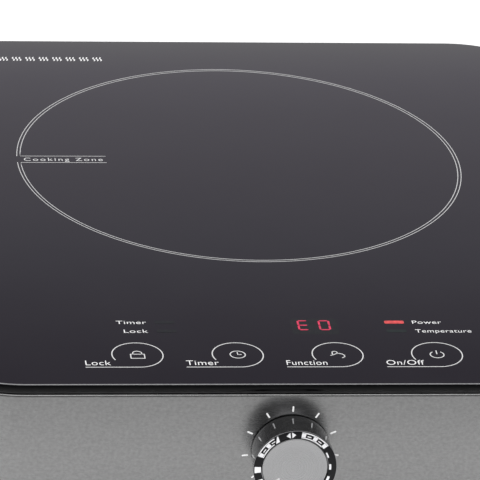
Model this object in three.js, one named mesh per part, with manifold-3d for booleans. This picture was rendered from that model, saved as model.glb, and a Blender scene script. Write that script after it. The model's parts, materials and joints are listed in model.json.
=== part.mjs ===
// Tabletop induction cooktop with one cooking zone: a black ceramic glass top on a folded steel housing,
// touch keys under the glass, a turning power knob on the front panel, and the coil, fan and boards inside.
// Millimetres, +Z up. The front panel faces -Y. The origin is at the bottom centre of the whole object:
// the knob in front and the cord gland behind stand out by the same length.
import * as THREE from "three";
import { mergeVertices } from "three/addons/utils/BufferGeometryUtils.js";
import Module from "manifold-3d";

const wasm = await Module();
wasm.setup();

// ---- Driving dimensions ----
const GLASS_WIDTH = 350;
const GLASS_DEPTH = 380;
const GLASS_THICKNESS = 4;
const GLASS_CORNER = 52;
const TOTAL_HEIGHT = 80;
const SEAL_THICKNESS = 1.6;
const SHEET = 1.2; // steel sheet of the housing and the base plate
const HOUSING_INSET = 1; // the housing stands back from the glass edge all round
const HOUSING_HEIGHT = 61.4;
const TOP_FLANGE = 14; // width of the folded rim that carries the glass
const BOTTOM_FLANGE = 12; // width of the folded rim that the base plate screws to
const GAP = 0.3; // clearance between pieces that touch
const ZONE_TO_BACK = 144.9; // from the middle of the cooking zone to the back edge of the glass
const KEY_PITCH = 46.5;
const KEY_TO_FRONT = 29; // from the row of touch keys to the front edge of the glass
const KNOB_DROP = 34.5; // from the top of the glass down to the knob's axis
const KNOB_BASE_RADIUS = 18.3;
const KNOB_FRONT_RADIUS = 19.3;
const KNOB_BEZEL_RADIUS = 18.6;
const KNOB_CAP_RADIUS = 15.2;
const KNOB_LENGTH = 17.9;
const KNOB_STAND_OFF = 0.8; // air gap between the knob's skirt and the panel
const KNOB_REST_ANGLE = -130; // from straight up, clockwise positive: the knob rests at its lowest setting
const SLOT_WIDTH = 3.4;
const SLOT_LENGTH = 26;
const SLOT_PITCH = 9;
const SCREW_HOLE = 2.1; // radius of the holes in the sheet that the screws tap into

// ---- Levels and places that follow from them ----
const GLASS_Z = TOTAL_HEIGHT - GLASS_THICKNESS;
const HOUSING_TOP = GLASS_Z - SEAL_THICKNESS;
const HOUSING_BOTTOM = HOUSING_TOP - HOUSING_HEIGHT;
const HOUSING_WIDTH = GLASS_WIDTH - 2 * HOUSING_INSET;
const HOUSING_DEPTH = GLASS_DEPTH - 2 * HOUSING_INSET;
const HOUSING_CORNER = GLASS_CORNER - HOUSING_INSET;
const WALL_X = HOUSING_WIDTH / 2;
const WALL_Y = HOUSING_DEPTH / 2;
const BASE_Z = HOUSING_BOTTOM + 0.2;
const FLOOR_Z = BASE_Z + SHEET; // top face of the base plate
const INSIDE_Z = FLOOR_Z + GAP; // lowest level of what stands on the base plate
const FOOT_HEIGHT = BASE_Z - GAP;
const ZONE_Y = GLASS_DEPTH / 2 - ZONE_TO_BACK;
const KEY_Y = -GLASS_DEPTH / 2 + KEY_TO_FRONT;
const KNOB_Z = TOTAL_HEIGHT - KNOB_DROP;
const VENT_Z = HOUSING_BOTTOM + HOUSING_HEIGHT / 2;

const GLAND = { x: 100, z: HOUSING_BOTTOM + 26, bore: 4.4, seat: 5.2, neck: 12, length: KNOB_LENGTH };
const FAN = { x: -100, y: -74, size: 92, height: 25, hub: 17 };
const COIL = { inner: 28, outer: 91, turns: 7, height: 5, z: GLASS_Z - 9.6 };
const CARRIER = { radius: 97, eye: 9.6, height: 4, z: COIL.z - GAP - 4 };
const BOARD = { x: 58, y: -84, width: 200, depth: 104, thickness: 1.6, z: FLOOR_Z + 6 };
const BOARD_TOP = BOARD.z + BOARD.thickness + GAP; // where the parts on the power board stand
const SINK = { x: 2, y: -84, length: 72, width: 64, height: 26, fins: 9, z: BOARD_TOP + 6.4 };
const CONTROL = { x: 0, y: -151, width: 200, depth: 62, thickness: 1.6, z: 66 };
const CONTROL_TOP = CONTROL.z + CONTROL.thickness + GAP;
const UNDER_GLASS = GLASS_Z - GAP;
const DISPLAY = { x: 16, y: -132.2, pitch: 10, width: 6.2, height: 10.4 };
const LAMPS = { x: 54, y: -132.8, spacing: 8.1 };
const RIBBON = { x: 70, y: -126 };

const fourCorners = (x, y, dx, dy) => [-1, 1].flatMap((i) => [-1, 1].map((j) => [x + i * dx, y + j * dy]));
const FOOT_PLACES = fourCorners(0, 0, 128, 143);
const BOARD_SCREWS = fourCorners(BOARD.x, BOARD.y, BOARD.width / 2 - 6, BOARD.depth / 2 - 6);
const CONTROL_SCREWS = fourCorners(CONTROL.x, CONTROL.y, CONTROL.width / 2 - 6, CONTROL.depth / 2 - 6);
const BASE_SCREWS = [
  [-(WALL_X - 8), 0],
  [WALL_X - 8, 0],
  [0, -(WALL_Y - 8)],
  [0, WALL_Y - 8],
];

// ---- Materials ----
const material = (color, roughness, metalness) =>
  new THREE.MeshStandardMaterial({ color, roughness, metalness });
const GLASS = material(0x101014, 0.08, 0);
const STEEL = material(0x8e8e8e, 0.38, 1);
const ZINC = material(0xb8bcc0, 0.4, 1);
const BLACK_CHROME = material(0x1c1c1e, 0.12, 1);
const CHROME = material(0xe6e6e8, 0.06, 1);
const BRUSHED = material(0x9a9a9c, 0.35, 1);
const BLACK_PLASTIC = material(0x17171a, 0.55, 0);
const RUBBER = material(0x1a1a1a, 0.9, 0);
const SILICONE = material(0x2a2a2c, 0.7, 0);
const COPPER = material(0xb06a3a, 0.35, 1);
const FERRITE = material(0x2d2d30, 0.8, 0);
const MICA = material(0xcfc4a6, 0.6, 0);
const CIRCUIT = material(0x1f5a35, 0.5, 0);
const ALUMINIUM = material(0xb9bcc0, 0.35, 1);
const YELLOW_PLASTIC = material(0xc9a227, 0.45, 0);
const GREY_PLASTIC = material(0x9a9c9e, 0.5, 0);

// ---- Solids ----
const radians = THREE.MathUtils.degToRad;

function solidOf(geometry) {
  const loose = geometry.index ? geometry.toNonIndexed() : geometry;
  const bare = new THREE.BufferGeometry().setAttribute("position", loose.getAttribute("position"));
  const merged = mergeVertices(bare, 1e-3);
  const vertProperties = new Float32Array(merged.attributes.position.array);
  const triVerts = new Uint32Array(merged.index.array);
  return new wasm.Manifold(new wasm.Mesh({ numProp: 3, vertProperties, triVerts }));
}

function geometryOf(solid) {
  const { vertProperties, triVerts } = solid.getMesh();
  return new THREE.BufferGeometry()
    .setAttribute("position", new THREE.BufferAttribute(vertProperties, 3))
    .setIndex(new THREE.BufferAttribute(triVerts, 1));
}

const join = (...pieces) => geometryOf(pieces.map(solidOf).reduce((all, piece) => all.add(piece)));

const cut = (body, ...tools) =>
  geometryOf(tools.map(solidOf).reduce((left, tool) => left.subtract(tool), solidOf(body)));

// ---- Plain shapes: z is always a shape's lowest level ----
function polar(radius, angle, x = 0, y = 0) {
  return [x + radius * Math.cos(radians(angle)), y + radius * Math.sin(radians(angle))];
}

const box = (width, depth, height, x, y, z) =>
  new THREE.BoxGeometry(width, depth, height).translate(x, y, z + height / 2);

const post = (radius, height, x, y, z, segments = 24) =>
  new THREE.CylinderGeometry(radius, radius, height, segments)
    .rotateX(Math.PI / 2)
    .translate(x, y, z + height / 2);

// Body of revolution about +Z, from [radius, level] pairs in either order.
function turned(profile, segments = 32) {
  const points = profile.map(([radius, level]) => new THREE.Vector2(radius, level));
  if (THREE.ShapeUtils.area(points) < 0) {
    points.reverse();
  }
  if (points[0].x > 0) {
    points.push(points[0].clone());
  }
  return new THREE.LatheGeometry(points, segments).rotateX(Math.PI / 2);
}

function traceRounded(path, width, depth, corner) {
  const [x, y] = [width / 2 - corner, depth / 2 - corner];
  path.absarc(x, y, corner, 0, Math.PI / 2);
  path.absarc(-x, y, corner, Math.PI / 2, Math.PI);
  path.absarc(-x, -y, corner, Math.PI, 1.5 * Math.PI);
  path.absarc(x, -y, corner, 1.5 * Math.PI, 2 * Math.PI);
  return path;
}

const extruded = (shape, height, z, curveSegments = 6) =>
  new THREE.ExtrudeGeometry(shape, { depth: height, bevelEnabled: false, curveSegments }).translate(0, 0, z);

const roundedPlate = (width, depth, corner, height, z, curveSegments = 6) =>
  extruded(traceRounded(new THREE.Shape(), width, depth, corner), height, z, curveSegments);

// Rounded plate with the housing's outline drawn in by inset, between two levels.
const insetPlate = (inset, from, to) =>
  roundedPlate(HOUSING_WIDTH - 2 * inset, HOUSING_DEPTH - 2 * inset, HOUSING_CORNER - inset, to - from, from);

// Cutting tool for a slot with round ends that stands along its own y, centred on the origin.
function slot(width, length, height) {
  const shape = new THREE.Shape();
  const straight = (length - width) / 2;
  shape.absarc(0, straight, width / 2, 0, Math.PI);
  shape.absarc(0, -straight, width / 2, Math.PI, 2 * Math.PI);
  return extruded(shape, height, -height / 2, 2);
}

// Cutting tool for a slot that follows a ring between two angles.
function arcSlot(radius, width, from, to, height, z) {
  const [start, end] = [radians(from), radians(to)];
  const shape = new THREE.Shape();
  shape.absarc(0, 0, radius + width / 2, start, end, false);
  shape.absarc(0, 0, radius - width / 2, end, start, true);
  return extruded(shape, height, z, 3);
}

// Section drawn round the origin and swept along a smooth curve through the points.
function swept(section, points, steps, curveSegments = 4) {
  const extrudePath = new THREE.CatmullRomCurve3(points.map((point) => new THREE.Vector3(...point)));
  return new THREE.ExtrudeGeometry(section, { steps, bevelEnabled: false, curveSegments, extrudePath });
}

// Hexagonal nut standing on level z with its axis on +Z.
function hexNut(acrossFlats, bore, height, z) {
  const hexagon = post(acrossFlats / Math.sqrt(3), height, 0, 0, z, 6);
  return cut(hexagon, post(bore, 2 * height, 0, 0, z - height / 2, 20));
}

// Pan-head screw: the head hangs below its own z = 0 and the shank points up.
function panScrew(headRadius, headHeight, shankRadius, length) {
  const profile = [
    [0, -headHeight],
    [headRadius * 0.6, -headHeight],
    [headRadius, -headHeight * 0.5],
    [headRadius, 0],
    [shankRadius, 0],
    [shankRadius, length],
    [0, length],
  ];
  const arm = headRadius * 0.9;
  const recess = (width, depth) => box(width, depth, headHeight * 0.6, 0, 0, -headHeight - 0.2);
  return cut(turned(profile, 10), recess(arm, arm * 0.25), recess(arm * 0.25, arm));
}

// ---- Case ----
const glassTop = () =>
  roundedPlate(GLASS_WIDTH, GLASS_DEPTH, GLASS_CORNER, GLASS_THICKNESS, GLASS_Z, 8);

// Silicone bead between the glass and the rim of the housing.
function glassSeal() {
  const outline = (path, inset) =>
    traceRounded(path, HOUSING_WIDTH - 2 * inset, HOUSING_DEPTH - 2 * inset, HOUSING_CORNER - inset);
  const shape = outline(new THREE.Shape(), 0.5);
  shape.holes.push(outline(new THREE.Path(), TOP_FLANGE - 4));
  return extruded(shape, SEAL_THICKNESS - 2 * GAP, HOUSING_TOP + GAP);
}

// Row of standing vent slots, made along the rear wall's x and carried round by turn to the wall at (x, y).
function ventRow(count, middle, turn, x, y) {
  return Array.from({ length: count }, (_, i) =>
    slot(SLOT_WIDTH, SLOT_LENGTH, 4 * SHEET)
      .rotateX(Math.PI / 2)
      .translate(middle + (i - (count - 1) / 2) * SLOT_PITCH, 0, VENT_Z)
      .rotateZ(turn)
      .translate(x, y, 0),
  );
}

// One wrap of sheet with a rim folded inwards at the top and another just above the base plate.
function housing() {
  const shell = insetPlate(0, HOUSING_BOTTOM, HOUSING_TOP);
  const wallHole = (radius, x, y, z) =>
    new THREE.CylinderGeometry(radius, radius, 6 * SHEET, 20).translate(x, y, z);
  return cut(
    shell,
    insetPlate(SHEET, INSIDE_Z + SHEET, HOUSING_TOP - SHEET),
    insetPlate(TOP_FLANGE, HOUSING_TOP - 2 * SHEET, HOUSING_TOP + 1),
    insetPlate(BOTTOM_FLANGE, INSIDE_Z - 1, INSIDE_Z + 2 * SHEET),
    insetPlate(SHEET, HOUSING_BOTTOM - 1, INSIDE_Z),
    ...BASE_SCREWS.map(([x, y]) => post(SCREW_HOLE, 8, x, y, HOUSING_BOTTOM, 8)),
    ...ventRow(13, -30, 0, 0, WALL_Y),
    ...ventRow(8, 44, Math.PI / 2, WALL_X, 0),
    ...ventRow(8, 44, Math.PI / 2, -WALL_X, 0),
    wallHole(5, 0, -WALL_Y, KNOB_Z),
    wallHole(8, GLAND.x, WALL_Y, GLAND.z),
  );
}

// Air intake below the fan: broken rings of slots.
function intakeSlots() {
  const rings = [16, 24, 32, 40];
  return rings.flatMap((radius) =>
    [0, 90, 180, 270].map((angle) =>
      arcSlot(radius, SLOT_WIDTH, angle + 8, angle + 82, 4, BASE_Z - 1).translate(FAN.x, FAN.y, 0),
    ),
  );
}

function basePlate() {
  const rise = BOARD.z - GAP - FLOOR_Z;
  const standOffs = BOARD_SCREWS.map(([x, y]) => post(4, rise + SHEET / 2, x, y, FLOOR_Z - SHEET / 2, 8));
  const screwPlaces = [...FOOT_PLACES, ...BASE_SCREWS];
  const screwHoles = screwPlaces.map(([x, y]) => post(SCREW_HOLE, 4, x, y, BASE_Z - 1, 8));
  const outletSlots = Array.from({ length: 9 }, (_, i) =>
    slot(SLOT_WIDTH, 44, 6).translate(BOARD.x + (i - 4) * 1.3 * SLOT_PITCH, BOARD.y, BASE_Z),
  );
  const plate = insetPlate(SHEET + GAP, BASE_Z, FLOOR_Z);
  return cut(join(plate, ...standOffs), ...screwHoles, ...intakeSlots(), ...outletSlots);
}

const FOOT_SEAT = 7; // depth of the hole in the foot that the screw's head sits in

const foot = () =>
  turned([
    [2.3, FOOT_SEAT],
    [5.5, FOOT_SEAT],
    [5.5, 0],
    [11, 0],
    [12, 1],
    [13, FOOT_HEIGHT - 1],
    [13, FOOT_HEIGHT],
    [2.3, FOOT_HEIGHT],
  ], 18);

// ---- Knob and potentiometer: +Z points out of the front panel, whose face is z = 0 ----
const KNOB_FACE = KNOB_LENGTH - 2.2; // where the knob's bezel and cap are seated

function knobBody() {
  const skirt = turned([
    [0, KNOB_FACE - 3],
    [15.2, KNOB_FACE - 3],
    [15.2, KNOB_STAND_OFF],
    [KNOB_BASE_RADIUS, KNOB_STAND_OFF],
    [KNOB_FRONT_RADIUS, KNOB_LENGTH - 0.3],
    [KNOB_BEZEL_RADIUS + GAP, KNOB_LENGTH - 0.3],
    [KNOB_BEZEL_RADIUS + GAP, KNOB_FACE],
    [0, KNOB_FACE],
  ], 40);
  const hub = turned([
    [0, KNOB_FACE - 3.4],
    [3.3, KNOB_FACE - 3.4],
    [3.3, 4.2],
    [6, 4.2],
    [6, KNOB_FACE - 2.5],
    [0, KNOB_FACE - 2.5],
  ], 24);
  return join(skirt, hub);
}

const knobBezel = () =>
  turned([
    [KNOB_CAP_RADIUS + GAP, KNOB_FACE + GAP],
    [KNOB_BEZEL_RADIUS, KNOB_FACE + GAP],
    [KNOB_BEZEL_RADIUS, KNOB_LENGTH - 0.3],
    [KNOB_BEZEL_RADIUS - 0.3, KNOB_LENGTH],
    [KNOB_CAP_RADIUS + GAP, KNOB_LENGTH],
  ], 40);

// Flat disc with a sunk pointer line near its rim.
function knobCap() {
  const disc = turned([
    [0, KNOB_FACE + GAP],
    [KNOB_CAP_RADIUS, KNOB_FACE + GAP],
    [KNOB_CAP_RADIUS, KNOB_LENGTH - 0.7],
    [KNOB_CAP_RADIUS - 0.4, KNOB_LENGTH - 0.3],
    [0, KNOB_LENGTH - 0.3],
  ], 40);
  return cut(disc, box(1.2, 5, 1, 0, 11.5, KNOB_LENGTH - 0.7).rotateZ(radians(-KNOB_REST_ANGLE)));
}

// Shaft with a flat that the knob's hub grips.
function potShaft() {
  const end = KNOB_FACE - 3.8;
  return cut(post(3, end + 7, 0, 0, -7, 20), box(8, 4, end, 0, 4, 4));
}

function potBody() {
  const seat = -SHEET - GAP;
  const can = box(17, 17, 9, 0, 0, seat - 9);
  const bush = post(4.6, 4.6 - seat, 0, 0, seat - 1, 20);
  const legs = [-5, 0, 5].map((x) => box(1.2, 6, 1, x, -11, seat - 7));
  return cut(join(can, bush, ...legs), post(3.3, 20, 0, 0, -7.3, 20));
}

// ---- Cord gland: +Z points out of the rear wall, whose face is z = 0 ----
function glandBody() {
  const hexagon = post(11.5, GLAND.seat - GAP, 0, 0, GAP, 6);
  const inside = post(7.6, 15, 0, 0, -13.7);
  const neck = post(6.2, GLAND.neck - 2, 0, 0, 2);
  return cut(join(hexagon, inside, neck), post(GLAND.bore, 40, 0, 0, -20));
}

const glandNut = () =>
  turned([
    [6.5, GLAND.seat + GAP],
    [10, GLAND.seat + GAP],
    [10, GLAND.length - 5],
    [8.4, GLAND.length - 1.4],
    [6.6, GLAND.length],
    [GLAND.bore, GLAND.length],
    [GLAND.bore, GLAND.neck + GAP],
    [6.5, GLAND.neck + GAP],
  ], 20);

// ---- Induction unit: the origin of x and y is the middle of the cooking zone ----
// Flat spiral of stranded wire, seen as one band wound from the inside out.
function coilWinding() {
  const steps = 24;
  const pitch = (COIL.outer - COIL.inner) / (COIL.turns + 1);
  const edge = (offset) =>
    Array.from({ length: steps * COIL.turns + 1 }, (_, i) => {
      const radius = COIL.inner + offset + (pitch * i) / steps;
      return new THREE.Vector2(...polar(radius, (360 * i) / steps));
    });
  return extruded(new THREE.Shape([...edge(pitch - 0.9), ...edge(0).reverse()]), COIL.height, COIL.z);
}

// Moulded spider with a rim, six arms over the ferrite bars and four posts down to the base plate.
function coilCarrier() {
  const { radius, eye, height, z } = CARRIER;
  const ring = (outer, inner) =>
    cut(post(outer, height, 0, 0, z, 36), post(inner, 3 * height, 0, 0, z - height));
  const arms = [0, 60, 120, 180, 240, 300].map((angle) =>
    box(radius - 25, 18, height, (radius + 17) / 2, 0, z).rotateZ(radians(angle)),
  );
  const posts = [45, 135, 225, 315].map((angle) =>
    post(5, z + 1 - INSIDE_Z, ...polar(88, angle), INSIDE_Z, 10),
  );
  return join(ring(radius, radius - 10), ring(27, eye), ...arms, ...posts);
}

const ferriteBar = () => box(52, 14, 5, 62, 0, CARRIER.z - GAP - 5);

function micaSheet() {
  const z = COIL.z + COIL.height + GAP;
  return cut(post(95, 0.8, 0, 0, z, 36), post(10, 3, 0, 0, z - 1, 20));
}

const temperatureSensor = () =>
  turned([
    [0, CARRIER.z - 4],
    [9.2, CARRIER.z - 4],
    [9.2, UNDER_GLASS - 2],
    [7.6, UNDER_GLASS],
    [0, UNDER_GLASS],
  ], 24);

// ---- Power electronics ----
const board = ({ x, y, width, depth, thickness, z }, screws) =>
  cut(box(width, depth, thickness, x, y, z), ...screws.map((at) => post(1.7, 6, ...at, z - 2, 8)));

function heatSink() {
  const { x, y, length, width, height, fins, z } = SINK;
  const pitch = (width - 2) / (fins - 1);
  const blades = Array.from({ length: fins }, (_, i) =>
    box(length, 2, height - 3, x, y - (width - 2) / 2 + i * pitch, z + 3),
  );
  return join(box(length, width, 4, x, y, z), ...blades);
}

// Power device that lies between the board and the heat sink, with three bent legs.
function powerDevice(width) {
  const leg = (x) => [box(1, 4, 1, x, -11, 2), box(1, 1, 3, x, -12.5, 0)];
  const legs = [-4.4, 0, 4.4].flatMap(leg);
  return join(box(width, 20, 5, 0, 0, 0.8), ...legs);
}

// Ring core with its winding as one round body.
function choke() {
  const profile = Array.from({ length: 8 }, (_, i) => {
    const [across, up] = polar(8, i * 45);
    return [15 + across * 0.8, 8 + up];
  });
  return turned(profile, 18);
}

const transformer = () =>
  join(box(20, 10, 18, 0, 0, 2), box(14, 17, 12, 0, 0, 5), box(18, 18, 3, 0, 0, 0));

// Glass tube with two metal end caps, lying along x.
const fuse = () =>
  turned([
    [0, -10],
    [3, -10],
    [3, -5],
    [2.5, -5],
    [2.5, 5],
    [3, 5],
    [3, 10],
    [0, 10],
  ], 10).rotateY(Math.PI / 2);

function terminalBlock() {
  const wireHoles = [-10, 0, 10].map((y) =>
    post(2.2, 9, 0, 0, 4, 10)
      .rotateY(Math.PI / 2)
      .translate(0, y, 7),
  );
  return cut(box(16, 32, 14, 0, 0, 0), ...wireHoles);
}

// ---- Fan: z = 0 is its underside ----
function fanFrame() {
  const { size, height, hub } = FAN;
  const bore = size / 2 - 2.2;
  const shell = cut(
    roundedPlate(size, size, 6, height, 0, 4),
    post(bore, 3 * height, 0, 0, -height, 32),
    ...fourCorners(0, 0, size / 2 - 4.8, size / 2 - 4.8).map((at) => post(2.2, 60, ...at, -10, 8)),
  );
  const seat = post(hub + 1, 3, 0, 0, height - 3);
  const struts = [20, 110, 200, 290].map((angle) =>
    box(bore + 1 - hub, 4, 3, (bore + 1 + hub) / 2, 0, height - 3).rotateZ(radians(angle)),
  );
  return cut(join(shell, seat, ...struts), post(2.3, 20, 0, 0, height - 10, 12));
}

function fanRotor() {
  const outer = FAN.size / 2 - 3.6;
  const hub = join(post(FAN.hub, 18, 0, 0, 2.5), post(1.8, 5, 0, 0, 19.5, 12));
  const blade = new THREE.BoxGeometry(outer + 2 - FAN.hub, 24, 1.6)
    .rotateX(radians(38))
    .translate((outer + FAN.hub) / 2, 0, 11.5);
  const turnedBlade = (_, i) => solidOf(blade.clone().rotateZ((2 * Math.PI * i) / 7));
  const blades = Array.from({ length: 7 }, turnedBlade);
  const sweep = solidOf(post(outer, 22, 0, 0, 2.5, 40));
  return geometryOf(blades.reduce((all, one) => all.add(one), solidOf(hub)).intersect(sweep));
}

// ---- Controls under the glass ----
function controlBracket() {
  const { y, width, depth, z } = CONTROL;
  const tray = box(width + 8, depth, 2, 0, y, z - 6);
  const legs = [-1, 1].map((side) =>
    box(3, 20, z - 5 - INSIDE_Z, side * (width / 2 + 2), y - 4, INSIDE_Z),
  );
  const bosses = CONTROL_SCREWS.map((at) => post(3.5, 5 - GAP, ...at, z - 5, 12));
  return cut(join(tray, ...legs, ...bosses), box(30, 8, 6, RIBBON.x, RIBBON.y, z - 8));
}

// Waisted metal sleeve that carries a touch key's signal from the board to the glass.
function touchSpring() {
  const middle = (CONTROL_TOP + UNDER_GLASS) / 2;
  return turned([
    [3.4, CONTROL_TOP],
    [4.6, CONTROL_TOP],
    [3.9, middle],
    [4.6, UNDER_GLASS],
    [3.4, UNDER_GLASS],
    [2.7, middle],
  ], 12);
}

const underGlass = (width, depth, x, y) =>
  box(width, depth, UNDER_GLASS - CONTROL_TOP, x, y, CONTROL_TOP);

// Two light bars in one block, one in front of the other.
function lampBlock(x) {
  const window = (y) => box(9.4, 2.8, 2, x, y, UNDER_GLASS - 0.8);
  const { y, spacing } = LAMPS;
  return cut(underGlass(14, 15, x, y), window(y + spacing / 2), window(y - spacing / 2));
}

// Block whose face is grooved with two seven-segment digits.
function digitDisplay() {
  const { x, y, pitch, width, height } = DISPLAY;
  const groove = (wide, deep, dx, dy) => box(wide, deep, 2, x + dx, y + dy, UNDER_GLASS - 0.8);
  const digit = (dx) => [
    ...[-1, 0, 1].map((row) => groove(width - 2.6, 1, dx, (row * (height - 1)) / 2)),
    ...fourCorners(dx, 0, (width - 1) / 2, (height - 1) / 4).map((at) => groove(1, height / 2 - 1.8, ...at)),
  ];
  return cut(underGlass(22, 16, x, y), ...digit(-pitch / 2), ...digit(pitch / 2));
}

// ---- Wiring ----
const wire = (...points) => swept(new THREE.Shape().absarc(0, 0, 1.6, 0, 2 * Math.PI), points, 20, 3);

function coilLeads() {
  const level = COIL.z + COIL.height / 2;
  const end = BOARD_TOP + 0.8;
  const fromRim = wire(
    [88, ZONE_Y + 3.2, level],
    [102, ZONE_Y + 9, level - 3],
    [106, ZONE_Y - 2, level - 14],
    [106, -12, 40],
    [104, -43, 32],
    [104, -44, end],
  );
  const fromEye = wire(
    [31, ZONE_Y - 3, level],
    [29.5, ZONE_Y - 12, level - 0.5],
    [28, ZONE_Y - 15.5, level - 6],
    [29, ZONE_Y - 17, level - 18],
    [50, 10, 44],
    [84, -6, 38],
    [93, -42, 32],
    [94, -44, end],
  );
  return [fromRim, fromEye];
}

function ribbonCable() {
  const [wide, thick] = [20, 1.2];
  const section = traceRounded(new THREE.Shape(), wide, thick, thick / 4);
  const { x, y } = RIBBON;
  const [top, end] = [CONTROL.z - GAP, BOARD_TOP + 0.3];
  const route = [[x, y, top], [x, y, 58], [x, y + 5, 42], [x, y, 27], [x, y, end]];
  return swept(section, route, 8, 1);
}

// ---- The object ----
const cooktop = new THREE.Group();

function place(name, geometry, finish, x = 0, y = 0, z = 0, parent = cooktop) {
  const mesh = new THREE.Mesh(geometry, finish.clone());
  mesh.name = name;
  mesh.position.set(x, y, z);
  parent.add(mesh);
  return mesh;
}

place("glass_top", glassTop(), GLASS);
place("glass_seal", glassSeal(), SILICONE);
place("housing", housing(), STEEL);
place("base_plate", basePlate(), ZINC);
FOOT_PLACES.forEach(([x, y], i) => {
  place(`foot_${i + 1}`, foot(), RUBBER, x, y);
  place(`foot_screw_${i + 1}`, panScrew(4.4, 2.6, 1.8, 12), ZINC, x, y, FOOT_SEAT - GAP);
});
BASE_SCREWS.forEach(([x, y], i) => {
  place(`base_screw_${i + 1}`, panScrew(3.6, 2.2, 1.8, 9), ZINC, x, y, BASE_Z - GAP);
});

const knobAxis = new THREE.Group();
knobAxis.position.set(0, -WALL_Y, KNOB_Z);
knobAxis.rotation.x = Math.PI / 2;
cooktop.add(knobAxis);
place("knob_body", knobBody(), BLACK_CHROME, 0, 0, 0, knobAxis);
place("knob_bezel", knobBezel(), CHROME, 0, 0, 0, knobAxis);
place("knob_cap", knobCap(), BRUSHED, 0, 0, 0, knobAxis);
place("pot_shaft", potShaft(), ALUMINIUM, 0, 0, 0, knobAxis);
place("pot_body", potBody(), ZINC, 0, 0, 0, knobAxis);
place("pot_nut", hexNut(13, 4.9, 2.2, GAP), ZINC, 0, 0, 0, knobAxis);

const glandAxis = new THREE.Group();
glandAxis.position.set(GLAND.x, WALL_Y, GLAND.z);
glandAxis.rotation.x = -Math.PI / 2;
cooktop.add(glandAxis);
place("gland_body", glandBody(), BLACK_PLASTIC, 0, 0, 0, glandAxis);
place("gland_locknut", hexNut(20, 7.9, 4, -SHEET - GAP - 4), BLACK_PLASTIC, 0, 0, 0, glandAxis);
place("gland_nut", glandNut(), BLACK_PLASTIC, 0, 0, 0, glandAxis);

const zone = new THREE.Group();
zone.position.y = ZONE_Y;
cooktop.add(zone);
place("coil_winding", coilWinding(), COPPER, 0, 0, 0, zone);
place("coil_carrier", coilCarrier(), BLACK_PLASTIC, 0, 0, 0, zone);
place("mica_sheet", micaSheet(), MICA, 0, 0, 0, zone);
place("temperature_sensor", temperatureSensor(), GREY_PLASTIC, 0, 0, 0, zone);
for (let i = 0; i < 6; i += 1) {
  place(`ferrite_bar_${i + 1}`, ferriteBar(), FERRITE, 0, 0, 0, zone).rotation.z = radians(60 * i);
}

place("power_board", board(BOARD, BOARD_SCREWS), CIRCUIT);
place("heat_sink", heatSink(), ALUMINIUM);
place("transistor", powerDevice(16), BLACK_PLASTIC, SINK.x - 18, SINK.y, BOARD_TOP);
place("rectifier", powerDevice(24), BLACK_PLASTIC, SINK.x + 16, SINK.y, BOARD_TOP);
place("resonant_capacitor", box(32, 16, 26, 0, 0, 0), YELLOW_PLASTIC, 60, -72, BOARD_TOP);
place("filter_capacitor", box(32, 20, 28, 0, 0, 0), YELLOW_PLASTIC, 60, -98, BOARD_TOP);
place("choke", choke(), COPPER, 116, -112, BOARD_TOP);
place("transformer", transformer(), BLACK_PLASTIC, 74, -48, BOARD_TOP);
place("fuse", fuse(), ALUMINIUM, 116, -78, BOARD_TOP + 3);
place("terminal_block", terminalBlock(), GREY_PLASTIC, 146, -64, BOARD_TOP);
place("fan_frame", fanFrame(), BLACK_PLASTIC, FAN.x, FAN.y, INSIDE_Z);
place("fan_rotor", fanRotor(), BLACK_PLASTIC, FAN.x, FAN.y, INSIDE_Z);

place("control_bracket", controlBracket(), BLACK_PLASTIC);
place("control_board", board(CONTROL, CONTROL_SCREWS), CIRCUIT);
place("digit_display", digitDisplay(), BLACK_PLASTIC);
[-1, 1].forEach((side, i) => {
  place(`lamp_block_${i + 1}`, lampBlock(side * LAMPS.x), BLACK_PLASTIC);
});
[-1.5, -0.5, 0.5, 1.5].forEach((step, i) => {
  place(`touch_spring_${i + 1}`, touchSpring(), ALUMINIUM, step * KEY_PITCH, KEY_Y);
});
coilLeads().forEach((lead, i) => {
  place(`coil_lead_${i + 1}`, lead, COPPER);
});
place("ribbon_cable", ribbonCable(), GREY_PLASTIC);

export default cooktop;
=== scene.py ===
import json
from math import asin, atan2, cos, degrees, pi, radians, sin

import bmesh
import bpy
from mathutils import Matrix, Vector


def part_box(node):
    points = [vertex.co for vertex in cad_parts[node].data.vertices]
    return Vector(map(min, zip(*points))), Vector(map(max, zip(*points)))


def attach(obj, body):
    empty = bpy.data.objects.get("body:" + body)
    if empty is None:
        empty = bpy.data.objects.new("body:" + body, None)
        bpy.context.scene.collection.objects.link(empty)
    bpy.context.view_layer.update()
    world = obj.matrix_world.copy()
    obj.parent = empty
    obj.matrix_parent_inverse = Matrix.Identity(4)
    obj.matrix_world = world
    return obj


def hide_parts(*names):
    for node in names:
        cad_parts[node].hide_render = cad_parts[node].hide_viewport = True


# Looks of the tabletop induction cooktop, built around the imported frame. Metres, +Z up, front panel on -Y.

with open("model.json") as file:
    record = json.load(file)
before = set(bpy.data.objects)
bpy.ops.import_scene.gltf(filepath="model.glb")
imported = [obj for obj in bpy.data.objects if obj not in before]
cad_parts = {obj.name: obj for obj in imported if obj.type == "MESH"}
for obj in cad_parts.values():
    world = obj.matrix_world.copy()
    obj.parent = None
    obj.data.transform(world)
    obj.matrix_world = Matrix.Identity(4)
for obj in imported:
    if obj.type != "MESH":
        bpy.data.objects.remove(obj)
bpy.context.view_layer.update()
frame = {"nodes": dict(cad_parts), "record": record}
MM = 0.001


# ---- Places read from the frame ----
def middle(node):
    low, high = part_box(node)
    return (low + high) / 2


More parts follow.
